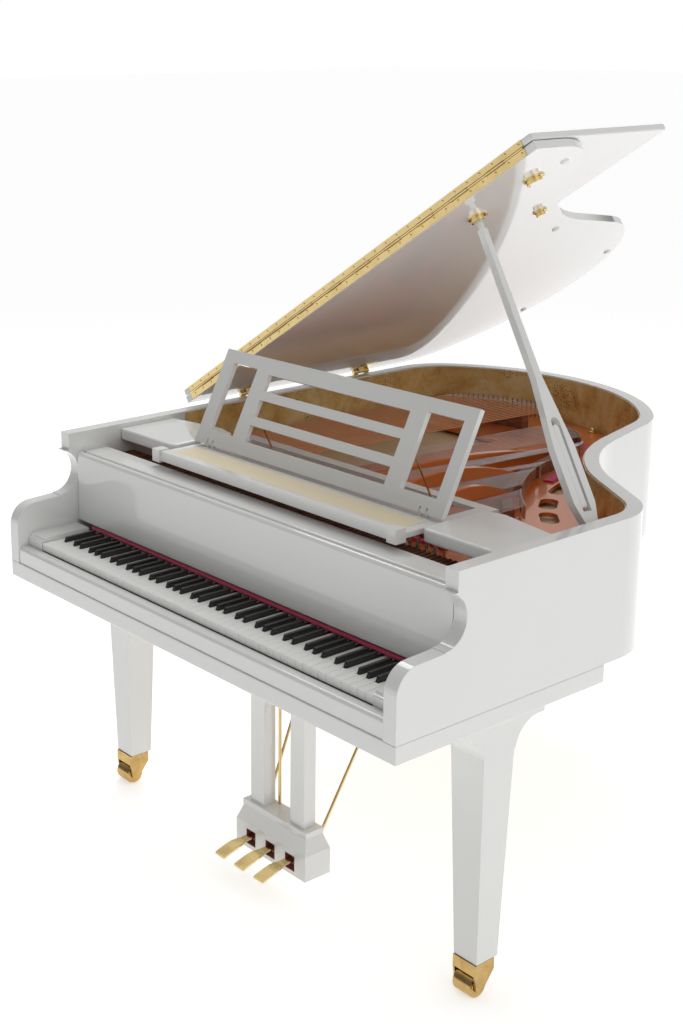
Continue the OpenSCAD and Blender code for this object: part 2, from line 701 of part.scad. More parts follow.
place() naturals(24, 24);  // key_d4
place() naturals(25, 25);  // key_e4
place() naturals(26, 26);  // key_f4
place() naturals(27, 27);  // key_g4
place() naturals(28, 28);  // key_a4
place() naturals(29, 29);  // key_b4
place() sharps(23, 24);  // sharps_c4_d4
place() sharps(26, 28);  // sharps_f4_g4_a4
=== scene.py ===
"""The looks of a white baby grand piano with its lid raised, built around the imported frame."""

import json
import logging
import math
from dataclasses import dataclass
from enum import Enum
from typing import Iterable, Sequence

import bmesh
import bpy
from mathutils import Matrix, Vector

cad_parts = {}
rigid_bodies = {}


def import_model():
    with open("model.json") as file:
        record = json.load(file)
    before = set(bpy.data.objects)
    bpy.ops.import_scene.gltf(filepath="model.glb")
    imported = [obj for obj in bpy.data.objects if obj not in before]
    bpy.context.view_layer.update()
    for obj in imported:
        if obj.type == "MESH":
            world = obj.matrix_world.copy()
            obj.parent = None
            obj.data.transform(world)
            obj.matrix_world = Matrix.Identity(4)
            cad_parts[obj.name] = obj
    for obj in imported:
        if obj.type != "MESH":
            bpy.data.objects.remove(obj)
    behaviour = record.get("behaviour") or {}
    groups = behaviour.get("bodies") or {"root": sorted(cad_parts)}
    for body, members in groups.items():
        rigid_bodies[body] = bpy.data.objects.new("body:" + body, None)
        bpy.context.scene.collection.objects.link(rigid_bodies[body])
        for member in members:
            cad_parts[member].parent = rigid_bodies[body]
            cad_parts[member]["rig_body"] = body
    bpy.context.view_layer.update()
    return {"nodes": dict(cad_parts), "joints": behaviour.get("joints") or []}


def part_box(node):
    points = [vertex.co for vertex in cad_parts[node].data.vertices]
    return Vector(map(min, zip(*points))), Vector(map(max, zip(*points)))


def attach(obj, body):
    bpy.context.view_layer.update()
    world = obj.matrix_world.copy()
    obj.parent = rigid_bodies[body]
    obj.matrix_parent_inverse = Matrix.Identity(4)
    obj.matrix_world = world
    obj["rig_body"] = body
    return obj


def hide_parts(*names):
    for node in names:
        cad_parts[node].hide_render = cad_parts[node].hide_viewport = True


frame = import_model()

logging.basicConfig(level=logging.INFO, format="%(message)s")
log = logging.getLogger("piano")

MM = 0.001
SHARP = math.radians(30)
SHARP_SHADING = math.radians(38)
Point = Sequence[float]


# ---- shader building


class Value:
    """A shader socket that works in Python arithmetic."""

    def __init__(self, shader: "Shader", socket: bpy.types.NodeSocket) -> None:
        """Keeps the socket and the shader that it belongs to."""
        self.shader = shader
        self.socket = socket

    def _maths(self, operation: str, first: object, second: object) -> "Value":
        """Adds one Math node.

        Args:
            operation: The node's operation.
            first: The first operand, a number or a Value.
            second: The second operand.

        Returns:
            The result.
        """
        return self.shader.node("ShaderNodeMath", {"operation": operation}, {0: first, 1: second})

    def __add__(self, other: object) -> "Value":
        """self + other."""
        return self._maths("ADD", self, other)

    __radd__ = __add__

    def __sub__(self, other: object) -> "Value":
        """self - other."""
        return self._maths("SUBTRACT", self, other)

    def __rsub__(self, other: object) -> "Value":
        """other - self."""
        return self._maths("SUBTRACT", other, self)

    def __mul__(self, other: object) -> "Value":
        """self * other."""
        return self._maths("MULTIPLY", self, other)

    __rmul__ = __mul__


class Shader:
    """A material in the making, with one method that adds every node."""

    def __init__(self, name: str) -> None:
        """Starts an empty node tree.

        Args:
            name: The material's name.
        """
        self.material = bpy.data.materials.new(name)
        self.material.use_nodes = True
        self.tree = self.material.node_tree
        self.tree.nodes.clear()

    def node(self, kind: str, settings: dict | None = None, sockets: dict | None = None,
             output: int | str = 0) -> Value:
        """Adds a node, sets it, then fills its sockets.

        Args:
            kind: The node's type.
            settings: The node's own settings; "stops" is a colour ramp's list of (place, colour).
            sockets: What goes in each input, a Value or a constant.
            output: Which output to give back.

        Returns:
            The output.
        """
        made = self.tree.nodes.new(kind)
        for key, value in (settings or {}).items():
            if key == "stops":
                self._stops(made.color_ramp, value)
            else:
                setattr(made, key, value)
        for key, value in (sockets or {}).items():
            if isinstance(value, Value):
                self.tree.links.new(value.socket, made.inputs[key])
            else:
                made.inputs[key].default_value = value
        return Value(self, made.outputs[output]) if len(made.outputs) else Value(self, made.inputs[0])

    @staticmethod
    def _stops(ramp: bpy.types.ColorRamp, stops: Sequence[tuple]) -> None:
        """Sets a ramp's stops.

        Args:
            ramp: The colour ramp.
            stops: Its (place, colour) pairs.
        """
        while len(ramp.elements) < len(stops):
            ramp.elements.new(0.5)
        for element, (place, colour) in zip(ramp.elements, stops):
            element.position = place
            element.color = (*colour, 1.0)

    def place(self, scale: Point = (1, 1, 1), turn: Point = (0, 0, 0)) -> Value:
        """Object coordinates, turned and then stretched.

        Args:
            scale: The stretch along each axis.
            turn: The turn about each axis, in degrees.

        Returns:
            The vector.
        """
        coordinates = self.node("ShaderNodeTexCoord", output="Object")
        return self.node("ShaderNodeMapping", {}, {
            "Vector": coordinates, "Scale": tuple(scale), "Rotation": tuple(math.radians(a) for a in turn)})

    def noise(self, scale: float, detail: float = 3.0, distortion: float = 0.0,
              vector: Value | None = None) -> Value:
        """A noise pattern from 0 to 1.

        Args:
            scale: Its scale, in patches a metre.
            detail: Its octaves.
            distortion: How much it is stirred.
            vector: Where it is read.

        Returns:
            The pattern.
        """
        return self.node("ShaderNodeTexNoise", {}, {
            "Scale": scale, "Detail": detail, "Distortion": distortion, "Vector": vector or self.place()})

    def ramp(self, amount: Value, *stops: tuple) -> Value:
        """A colour ramp driven by amount."""
        return self.node("ShaderNodeValToRGB", {"stops": stops}, {"Fac": amount})

    def mix(self, amount: object, first: object, second: object) -> Value:
        """A mix of two colours.

        Args:
            amount: The share of the second.
            first: The first colour.
            second: The second colour.

        Returns:
            The mixed colour.
        """
        return self.node("ShaderNodeMix", {"data_type": "RGBA"}, {
            0: amount, 6: self.colour(first), 7: self.colour(second)}, output=2)

    @staticmethod
    def colour(value: object) -> object:
        """A colour with its alpha, or the Value as it is."""
        return value if isinstance(value, Value) else (*value, 1.0)

    def bump(self, height: Value, strength: float, distance: float) -> Value:
        """A Bump node.

        Args:
            height: The height pattern.
            strength: How strongly it shows.
            distance: Its depth in metres.

        Returns:
            The normal.
        """
        return self.node("ShaderNodeBump", {}, {"Strength": strength, "Distance": distance, "Height": height})

    def finish(self, colour: object, roughness: object, metallic: float = 0.0,
               normal: Value | None = None, **constants: object) -> bpy.types.Material:
        """Joins everything in a Principled shader.

        Args:
            colour: The base colour.
            roughness: The roughness.
            metallic: How metallic it is.
            normal: The normal, where there is a bump.
            constants: Other sockets, with underscores for spaces.

        Returns:
            The finished material.
        """
        sockets = {"Base Color": self.colour(colour), "Roughness": roughness, "Metallic": metallic}
        if normal is not None:
            sockets["Normal"] = normal
        sockets.update({key.replace("_", " "): value for key, value in constants.items()})
        surface = self.node("ShaderNodeBsdfPrincipled", {}, sockets)
        self.node("ShaderNodeOutputMaterial", {}, {"Surface": surface})
        return self.material


# ---- finishes


@dataclass(frozen=True)
class Finish:
    """What every finish has: a name and the record's slot that it goes with."""

    name: str
    slot: str

    def paint(self, shader: Shader) -> bpy.types.Material:
        """Builds the nodes."""
        raise NotImplementedError

    def material(self) -> bpy.types.Material:
        """The finish's material, made once."""
        return bpy.data.materials.get(self.name) or self.paint(Shader(self.name))


@dataclass(frozen=True)
class Lacquer(Finish):
    """Polished polyester lacquer, flat as glass with a faint orange peel."""

    colour: tuple = (0.80, 0.80, 0.785)
    shade: tuple = (0.77, 0.77, 0.75)
    roughness: float = 0.05
    peel: float = 0.015

    def paint(self, shader: Shader) -> bpy.types.Material:
        """Builds the nodes."""
        broad = shader.noise(2.5, 2.0)
        peel = shader.noise(55.0, 2.0)
        return shader.finish(shader.mix(broad, self.colour, self.shade), self.roughness + broad * 0.03,
                             normal=shader.bump(peel, self.peel, 0.002), Coat_Weight=0.6, Coat_Roughness=0.02)


@dataclass(frozen=True)
class Burl(Finish):
    """Burl maple veneer: stirred gold with clusters of small dark eyes."""

    gold: tuple = (0.66, 0.43, 0.15)
    pale: tuple = (0.78, 0.60, 0.29)
    deep: tuple = (0.42, 0.19, 0.045)
    eye: tuple = (0.10, 0.03, 0.01)

    def paint(self, shader: Shader) -> bpy.types.Material:
        """Builds the nodes."""
        swirl = shader.noise(5.0, 6.0, 2.2)
        fine = shader.noise(42.0, 4.0, 1.4)
        figure = swirl * 0.75 + fine * 0.25
        wood = shader.ramp(figure, (0.28, self.deep), (0.45, self.gold), (0.60, self.pale))
        eyes = shader.node("ShaderNodeTexVoronoi", {}, {"Scale": 150.0, "Vector": shader.place()})
        cluster = shader.noise(7.0, 3.0, 0.6)
        spots = shader.node("ShaderNodeClamp", {}, {"Value": (0.34 - eyes) * 9.0})
        mask = spots * shader.node("ShaderNodeClamp", {}, {"Value": (cluster - 0.56) * 14.0})
        return shader.finish(shader.mix(mask, wood, self.eye), 0.12 + fine * 0.1,
                             normal=shader.bump(fine, 0.03, 0.001), Coat_Weight=0.8, Coat_Roughness=0.03)


@dataclass(frozen=True)
class Grain(Finish):
    """Straight-grained wood."""

    light: tuple = (0.62, 0.42, 0.22)
    dark: tuple = (0.42, 0.25, 0.11)
    across: float = 90.0
    along: float = 3.0
    turn: float = 0.0
    roughness: float = 0.42

    def paint(self, shader: Shader) -> bpy.types.Material:
        """Builds the nodes."""
        place = shader.place((self.across, self.along, self.across), (0, 0, self.turn))
        lines = shader.noise(1.0, 5.0, 0.4, place)
        cloud = shader.noise(4.0, 2.0)
        colour = shader.ramp(lines * 0.75 + cloud * 0.25, (0.36, self.dark), (0.62, self.light))
        return shader.finish(colour, self.roughness + lines * 0.15, normal=shader.bump(lines, 0.12, 0.0006))


@dataclass(frozen=True)
class CastPaint(Finish):
    """Glossy copper-coloured paint with fine flakes over cast iron."""

    colour: tuple = (0.84, 0.25, 0.055)
    shade: tuple = (0.66, 0.16, 0.03)

    def paint(self, shader: Shader) -> bpy.types.Material:
        """Builds the nodes."""
        flakes = shader.noise(900.0, 1.0)
        skin = shader.noise(60.0, 3.0)
        broad = shader.noise(3.0, 2.0)
        colour = shader.mix(broad * 0.6 + flakes * 0.4, self.colour, self.shade)
        return shader.finish(colour, 0.24 + flakes * 0.12, 0.35, shader.bump(skin, 0.10, 0.0012),
                             Coat_Weight=0.7, Coat_Roughness=0.06)


@dataclass(frozen=True)
class Metal(Finish):
    """Polished or drawn metal with hair scratches and a light haze."""

    colour: tuple = (0.74, 0.57, 0.27)
    tarnish: tuple = (0.58, 0.43, 0.18)
    roughness: float = 0.12
    scratch: float = 0.04
    patch: float = 0.5

    def paint(self, shader: Shader) -> bpy.types.Material:
        """Builds the nodes."""
        haze = shader.noise(22.0, 4.0, 0.5)
        hair = shader.noise(1.0, 2.0, 0.0, shader.place((900, 60, 900)))
        patch = shader.ramp(haze, (0.45, (0, 0, 0)), (0.75, (1, 1, 1)))
        colour = shader.mix(patch * self.patch, self.colour, self.tarnish)
        return shader.finish(colour, self.roughness + haze * 0.08, 1.0,
                             shader.bump(hair, self.scratch, 0.0002))


@dataclass(frozen=True)
class Winding(Finish):
    """Copper wire wound closely round a core, with painted shade in the grooves between the turns."""

    colour: tuple = (0.80, 0.42, 0.22)
    # the groove colour is painted shade: the darkening where neighbouring turns meet
    groove: tuple = (0.40, 0.17, 0.08)
    turns: float = 620.0

    def paint(self, shader: Shader) -> bpy.types.Material:
        """Builds the nodes."""
        coils = shader.node("ShaderNodeTexWave", {"bands_direction": "Y"}, {
            "Scale": self.turns, "Distortion": 0.2, "Vector": shader.place()}, output=1)
        # the wave bands lay painted shade into the troughs between turns, beside the bump
        return shader.finish(shader.mix(coils, self.groove, self.colour), 0.3, 1.0,
                             shader.bump(coils, 0.4, 0.0003))


@dataclass(frozen=True)
class Felt(Finish):
    """Dense dyed wool felt."""

    colour: tuple = (0.52, 0.008, 0.07)
    fibre: tuple = (0.75, 0.05, 0.17)

    def paint(self, shader: Shader) -> bpy.types.Material:
        """Builds the nodes."""
        fuzz = shader.noise(1300.0, 4.0, 0.8)
        clump = shader.noise(180.0, 3.0)
        return shader.finish(shader.mix(fuzz * 0.6 + clump * 0.3, self.colour, self.fibre), 0.95,
                             normal=shader.bump(fuzz, 0.5, 0.0008), Sheen_Weight=0.4)


@dataclass(frozen=True)
class Moulded(Finish):
    """Moulded key covering or rubber, plain but not quite even."""

    colour: tuple = (0.90, 0.90, 0.885)
    shade: tuple = (0.86, 0.85, 0.82)
    roughness: float = 0.16
    grain: float = 0.03

    def paint(self, shader: Shader) -> bpy.types.Material:
        """Builds the nodes."""
        streak = shader.noise(1.0, 3.0, 0.3, shader.place((260, 9, 260)))
        return shader.finish(shader.mix(streak, self.colour, self.shade), self.roughness + streak * 0.08,
                             normal=shader.bump(streak, self.grain, 0.0004))


class Look(Enum):
    """Every finish on the piano."""

    LACQUER = Lacquer("white_lacquer", "lacquer")
    BURL = Burl("burl_veneer", "burl")
    TIMBER = Grain("dark_timber", "timber", (0.30, 0.13, 0.07), (0.15, 0.05, 0.025))
    ACTION = Grain("action_wood", "timber", (0.72, 0.55, 0.36), (0.55, 0.38, 0.20))
    SPRUCE = Grain("spruce", "spruce", (0.82, 0.64, 0.38), (0.68, 0.47, 0.24), 160.0, 2.0, 38.0)
    PLATE = CastPaint("plate_paint", "plate")
    BRASS = Metal("polished_brass", "brass")
    CAST_BRASS = Metal("cast_brass", "brass", (0.60, 0.41, 0.16), (0.42, 0.27, 0.09), 0.2, 0.08, 1.0)
    STEEL = Metal("bright_steel", "steel", (0.74, 0.74, 0.75), (0.55, 0.55, 0.56), 0.18, 0.05)
    COPPER = Winding("copper_winding", "copper")
    FELT = Felt("crimson_felt", "felt")
    DARK_FELT = Felt("dark_red_felt", "felt", (0.16, 0.008, 0.012), (0.26, 0.02, 0.03))
    WOOL = Felt("white_wool", "felt", (0.72, 0.70, 0.64), (0.84, 0.82, 0.77))
    BUMPER = Moulded("clear_bumper", "bumper", (0.86, 0.87, 0.86), (0.80, 0.81, 0.80), 0.30)
    IVORY = Moulded("white_keys", "ivory")
    INLAY = Moulded("cream_inlay", "lacquer", (0.80, 0.70, 0.50), (0.76, 0.65, 0.45), 0.35, 0.1)
    EBONY = Moulded("black_keys", "ebony", (0.012, 0.011, 0.011), (0.022, 0.02, 0.019), 0.24, 0.15)


# ---- mesh building


def bevel_edges(bm: bmesh.types.BMesh, edges: Iterable[bmesh.types.BMEdge], width: float,
                segments: int) -> None:
    """Rounds edges.

    Args:
        bm: The mesh.
        edges: The edges to round.
        width: The rounding's width in metres.
        segments: How many facets it has.
    """
    bmesh.ops.bevel(bm, geom=list(edges), offset=width, offset_type="OFFSET", affect="EDGES",
                    segments=segments, profile=0.5, material=-1, clamp_overlap=True)


def sharp_edges(bm: bmesh.types.BMesh, angle: float = SHARP) -> list[bmesh.types.BMEdge]:
    """The edges whose two faces meet at more than an angle."""
    return [e for e in bm.edges if len(e.link_faces) == 2 and e.calc_face_angle(0.0) > angle]


def frame_on(origin: Point, z_axis: Point, x_hint: Point = (1, 0, 0)) -> Matrix:
    """A matrix that puts Z along an axis.

    Args:
        origin: Where the frame's origin goes.
        z_axis: The direction of its Z.
        x_hint: The direction that its X is nearest to.

    Returns:
        The matrix.
    """
    z = Vector(z_axis).normalized()
    x = Vector(x_hint) - z * z.dot(Vector(x_hint))
    x = x.normalized() if x.length > 1e-4 else z.orthogonal().normalized()
    y = z.cross(x)
    return Matrix.Translation(Vector(origin)) @ Matrix((x, y, z)).transposed().to_4x4()


class Stock:
    """A workpiece: one mesh, with the shop's operations as methods."""

    def __init__(self) -> None:
        """Starts empty."""
        self.bm = bmesh.new()

    def take(self, part: bmesh.types.BMesh, matrix: Matrix | None = None) -> "Stock":
        """Adds another mesh, and frees it.

        Args:
            part: The mesh to add.
            matrix: Where it goes.

        Returns:
            This stock.
        """
        mesh = bpy.data.meshes.new("offcut")
        part.to_mesh(mesh)
        part.free()
        if matrix is not None:
            mesh.transform(matrix)
        self.bm.from_mesh(mesh)
        bpy.data.meshes.remove(mesh)
        return self

    def repeat(self, pattern: "Stock", matrices: Iterable[Matrix]) -> "Stock":
        """Adds a copy of another stock at each place.

        Args:
            pattern: What is repeated.
            matrices: The places.

        Returns:
            This stock.
        """
        for matrix in matrices:
            mesh = bpy.data.meshes.new("copy")
            pattern.bm.to_mesh(mesh)
            mesh.transform(matrix)
            self.bm.from_mesh(mesh)
            bpy.data.meshes.remove(mesh)
        return self

    def box(self, low: Point, high: Point, rounding: float = 0.0, segments: int = 2,
            matrix: Matrix | None = None) -> "Stock":
        """Adds a block with rounded edges.

        Args:
            low: Its lowest corner.
            high: Its highest corner.
            rounding: The width of its rounded edges.
            segments: How many facets each has.
            matrix: Where the block goes.

        Returns:
            This stock.
        """
        part = bmesh.new()
        size = Vector(high) - Vector(low)
        centre = (Vector(low) + Vector(high)) / 2
        bmesh.ops.create_cube(part, size=1.0, matrix=Matrix.LocRotScale(centre, None, size))
        if rounding:
            bevel_edges(part, part.edges, min(rounding, 0.45 * min(size)), segments)
        return self.take(part, matrix)

    def rod(self, start: Point, end: Point, radius: float, sides: int = 16, tip: float | None = None,
            rounding: float = 0.0) -> "Stock":
        """Adds a round or tapered rod.

        Args:
            start: The middle of one end.
            end: The middle of the other.
            radius: Its radius at the start.
            sides: How many sides it has.
            tip: Its radius at the end, where that differs.
            rounding: The width of its rounded ends.

        Returns:
            This stock.
        """
        part = bmesh.new()
        run = Vector(end) - Vector(start)
        bmesh.ops.create_cone(part, cap_ends=True, cap_tris=False, segments=sides, radius1=radius,
                              radius2=radius if tip is None else tip, depth=run.length)
        if rounding:
            rims = [e for e in part.edges if any(len(f.verts) > 4 for f in e.link_faces)]
            bevel_edges(part, rims, rounding, 2)
        return self.take(part, frame_on((Vector(start) + Vector(end)) / 2, run))

    def turned(self, profile: Sequence[tuple[float, float]], matrix: Matrix, steps: int = 24) -> "Stock":
        """Adds a shape turned on a lathe.

        Args:
            profile: Its (radius, height) points, which start and end on the axis or close a ring.
            matrix: The frame whose Z is the lathe's axis.
            steps: How many facets go round.

        Returns:
            This stock.
        """
        part = bmesh.new()
        verts = [part.verts.new((radius, 0.0, height)) for radius, height in profile]
        edges = [part.edges.new(pair) for pair in zip(verts, verts[1:])]
        if profile[0][0] > 0 and profile[-1][0] > 0:
            edges.append(part.edges.new((verts[-1], verts[0])))
        bmesh.ops.spin(part, geom=verts + edges, cent=(0, 0, 0), axis=(0, 0, 1), dvec=(0, 0, 0),
                       angle=2 * math.pi, steps=steps, use_merge=True)
        bmesh.ops.remove_doubles(part, verts=part.verts, dist=1e-6)
        bmesh.ops.recalc_face_normals(part, faces=part.faces)
        return self.take(part, matrix)

    def loft(self, sections: Sequence[Sequence[Point]]) -> "Stock":
        """Adds a closed body through a row of sections.

        Args:
            sections: Each section's points, all with the same count and in the same order.

        Returns:
            This stock.
        """
        part = bmesh.new()
        loops = []
        for section in sections:
            verts = [part.verts.new(p) for p in section]
            loops.append([part.edges.new(pair) for pair in zip(verts, verts[1:] + verts[:1])])
        for first, second in zip(loops, loops[1:]):
            bmesh.ops.bridge_loops(part, edges=first + second)
        bmesh.ops.contextual_create(part, geom=loops[0])
        bmesh.ops.contextual_create(part, geom=loops[-1])
        bmesh.ops.recalc_face_normals(part, faces=part.faces)
        return self.take(part)

    def piece(self, name: str, look: Look, body: str, replaces: Sequence[str] = (),
              weighted: bool = True) -> bpy.types.Object:
        """Turns the stock into a finished piece on a body.

        Args:
            name: The piece's name.
            look: Its finish.
            body: The body that it rides on.
            replaces: The CAD nodes that it stands for.
            weighted: Whether broad flat faces keep flat shading beside rounded edges.

        Returns:
            The piece.
        """
        mesh = bpy.data.meshes.new(name)
        self.bm.to_mesh(mesh)
        self.bm.free()
        mesh.polygons.foreach_set("use_smooth", [True] * len(mesh.polygons))
        mesh.set_sharp_from_angle(angle=SHARP_SHADING)
        made = bpy.data.objects.new(name, mesh)
        bpy.context.scene.collection.objects.link(made)
        made.data.materials.append(look.value.material())
        if weighted:
            made.modifiers.new("flat_faces", "WEIGHTED_NORMAL").keep_sharp = True
        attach(made, body)
        if replaces:
            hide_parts(*replaces)
        log.info("%s: %d faces, on %s", name, len(mesh.polygons), body)
        return made


def body_of(node: str) -> str:
    """The body that a CAD node rides on."""
    return frame["nodes"][node]["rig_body"]


def copied(node: str) -> Stock:
    """A welded copy of a CAD node, with its flat faces whole again.

    Args:
        node: The node's name.

    Returns:
        The copy, ready for more work.
    """
    stock = Stock()
    stock.bm.from_mesh(frame["nodes"][node].data)
    bmesh.ops.remove_doubles(stock.bm, verts=stock.bm.verts, dist=1e-5)
    bmesh.ops.dissolve_limit(stock.bm, angle_limit=math.radians(0.4), verts=stock.bm.verts,
                             edges=stock.bm.edges, use_dissolve_boundaries=False)
    return stock


def eased(node: str, rounding: float, look: Look, segments: int = 3) -> bpy.types.Object:
    """A CAD node with its sharp edges eased, standing in for it.

    Args:
        node: The node's name.
        rounding: The width of its rounded edges, in metres.
        look: Its finish.
        segments: How many facets each rounded edge has.

    Returns:
        The piece.
    """
    stock = copied(node)
    bevel_edges(stock.bm, sharp_edges(stock.bm), rounding, segments)
    return stock.piece(f"{node}_shaped", look, body_of(node), [node])


def islands(node: str) -> list[list[Vector]]:
    """The points of each separate solid in a CAD node.

    Args:
        node: The node's name.

    Returns:
        One list of points for each solid, from left to right.
    """
    bm = bmesh.new()
    bm.from_mesh(frame["nodes"][node].data)
    bmesh.ops.remove_doubles(bm, verts=bm.verts, dist=1e-5)
    found, seen = [], set()
    for vert in bm.verts:
        if vert in seen:
            continue
        group, queue = [], [vert]
        seen.add(vert)
        while queue:
            here = queue.pop()
            group.append(here.co.copy())
            for other in (e.other_vert(here) for e in here.link_edges):
                if other not in seen:
                    seen.add(other)
                    queue.append(other)
        found.append(group)
    bm.free()
    return sorted(found, key=lambda group: sum(p.x for p in group) / len(group))


def middle(points: Sequence[Vector]) -> Vector:
    """The mean of some points."""
    return sum(points, Vector()) / len(points)


def standing(node: str) -> list[Matrix]:
    """The foot of each separate solid in a CAD node, as a place to stand a piece on."""
    return [Matrix.Translation((middle(g).x, middle(g).y, min(p.z for p in g))) for g in islands(node)]


def joint(name: str) -> tuple[Vector, Vector]:
    """A joint's place and axis in the row frame."""
    found = next(j for j in frame["joints"] if j["name"] == name)
    return Vector(found.get("pos_m", (0, 0, 0))), Vector(found["axis"])


@dataclass(frozen=True)
class Plan:
    """Places that several sub-assemblies share, read from the frame."""

    key_front: float
    middle_x: float
    half_width: float
    rim_top: float
    lid: Matrix

    @classmethod
    def read(cls, slip: float = 0.036) -> "Plan":
        """Reads the plan from the frame.

        Args:
            slip: How far the keybed's front stands before the key fronts.

        Returns:
            The plan.
        """
        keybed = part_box("keybed")
        hinge, _ = joint("lid_hinge")
        _, along = joint("flap_fold")
        lid = Matrix.Translation(hinge) @ Matrix.Rotation(-math.atan2(along.z, along.x), 4, "Y")
        middle_x = (keybed[0].x + keybed[1].x) / 2
        return cls(keybed[0].y + slip, middle_x, keybed[1].x - middle_x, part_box("rim")[1].z, lid)

    def at(self, x: float, y: float, z: float) -> Vector:
        """A point given in millimetres from the middle of the key fronts, at floor level."""
        return Vector((self.middle_x + x * MM, self.key_front + y * MM, z * MM))


def screw(radius: float, height: float) -> Stock:
    """A domed, slotted screw head that stands on Z.

    Args:
        radius: The head's radius.
        height: The head's height.

    Returns:
        The screw head.
    """
    head = Stock()
    head.turned([(0, height), (radius * 0.55, height * 0.86), (radius * 0.88, height * 0.45), (radius, 0),
                 (0, 0)], Matrix.Identity(4), 12)
    head.box((-radius * 0.8, -radius * 0.1, height * 0.7), (radius * 0.8, radius * 0.1, height * 1.02))
    return head


# ---- studio


@dataclass(frozen=True)
class Viewpoint:
    """The camera: where it stands, how it is turned, and its lens."""

    stand: tuple = (2.6789, -2.0443, 2.0664)
    yaw: float = 52.264
    pitch: float = 12.832
    roll: float = -0.543
    lens: float = 54.65
    shift: tuple = (0.144, -0.124)

    def build(self, plan: Plan) -> None:
        """Makes the camera.

        Args:
            plan: The shared places.
        """
        data = bpy.data.cameras.new("viewpoint")
        data.sensor_fit = "VERTICAL"
        data.sensor_height = 36.0
        data.lens = self.lens
        data.shift_x, data.shift_y = self.shift
        data.clip_end = 100.0
        camera = bpy.data.objects.new("viewpoint", data)
        bpy.context.scene.collection.objects.link(camera)
        turn = (Matrix.Rotation(math.radians(self.yaw), 4, "Z")
                @ Matrix.Rotation(math.radians(90 - self.pitch), 4, "X")
                @ Matrix.Rotation(math.radians(self.roll), 4, "Z"))
        camera.matrix_world = Matrix.Translation(plan.at(*(c / MM for c in self.stand))) @ turn
        bpy.context.scene.camera = camera


@dataclass(frozen=True)
class Softbox:
    """One rectangular light that looks at a point."""

    name: str
    stand: tuple
    aim: tuple
    size: tuple
    power: float

    def build(self) -> None:
        """Makes the light."""
        data = bpy.data.lights.new(self.name, "AREA")
        data.shape = "RECTANGLE"
        data.size, data.size_y = self.size
        data.energy = self.power
        light = bpy.data.objects.new(self.name, data)
        bpy.context.scene.collection.objects.link(light)
        light.matrix_world = frame_on(self.stand, Vector(self.stand) - Vector(self.aim))


@dataclass(frozen=True)
class Studio:
    """A white floor, a white surround and large soft lights."""

    bright: float = 0.60
    dim: float = 0.16
    floor_glow: float = 0.51
    dim_side: tuple = (-0.30, -0.94, -0.10)
    boxes: tuple = (
        Softbox("top_light", (-1.6, 1.2, 4.4), (0.0, 0.0, 0.9), (3.2, 2.2), 74.0),
        Softbox("side_light", (4.4, -0.9, 2.6), (0.2, 0.0, 0.7), (1.6, 2.6), 12.0),
    )

    def build(self) -> None:
        """Builds the floor, the world and the lights."""
        bm = bmesh.new()
        bmesh.ops.create_grid(bm, x_segments=1, y_segments=1, size=60.0)
        mesh = bpy.data.meshes.new("floor")
        bm.to_mesh(mesh)
        bm.free()
        floor = bpy.data.objects.new("floor", mesh)
        bpy.context.scene.collection.objects.link(floor)
        shader = Shader("studio_floor")
        cloud = shader.noise(0.8, 2.0)
        mesh.materials.append(shader.finish(shader.mix(cloud, (0.91, 0.91, 0.91), (0.93, 0.93, 0.93)), 0.7,
                                            Specular_IOR_Level=0.1, Emission_Strength=self.floor_glow,
                                            Emission_Color=(1.0, 1.0, 1.0, 1.0)))
        world = bpy.data.worlds.new("surround")
        bpy.context.scene.world = world
        world.use_nodes = True
        nodes, links = world.node_tree.nodes, world.node_tree.links
        sky = nodes["Background"]
        sky.inputs["Color"].default_value = (1.0, 1.0, 1.0, 1.0)
        place = nodes.new("ShaderNodeTexCoord")
        side = nodes.new("ShaderNodeVectorMath")
        side.operation = "DOT_PRODUCT"
        side.inputs[1].default_value = self.dim_side
        fall = nodes.new("ShaderNodeMapRange")
        fall.interpolation_type = "SMOOTHSTEP"
        for socket, value in zip(fall.inputs[1:5], (-0.1, 0.9, self.bright, self.dim)):
            socket.default_value = value
        seen = nodes.new("ShaderNodeLightPath")
        power = nodes.new("ShaderNodeMix")
        power.inputs[3].default_value = 1.0
        links.new(place.outputs["Generated"], side.inputs[0])
        links.new(side.outputs["Value"], fall.inputs[0])
        links.new(fall.outputs[0], power.inputs[2])
        links.new(seen.outputs["Is Camera Ray"], power.inputs[0])
        links.new(power.outputs[0], sky.inputs["Strength"])
        for box in self.boxes:
            box.build()
        bpy.context.scene.view_settings.view_transform = "Standard"


# ---- the piano's sub-assemblies


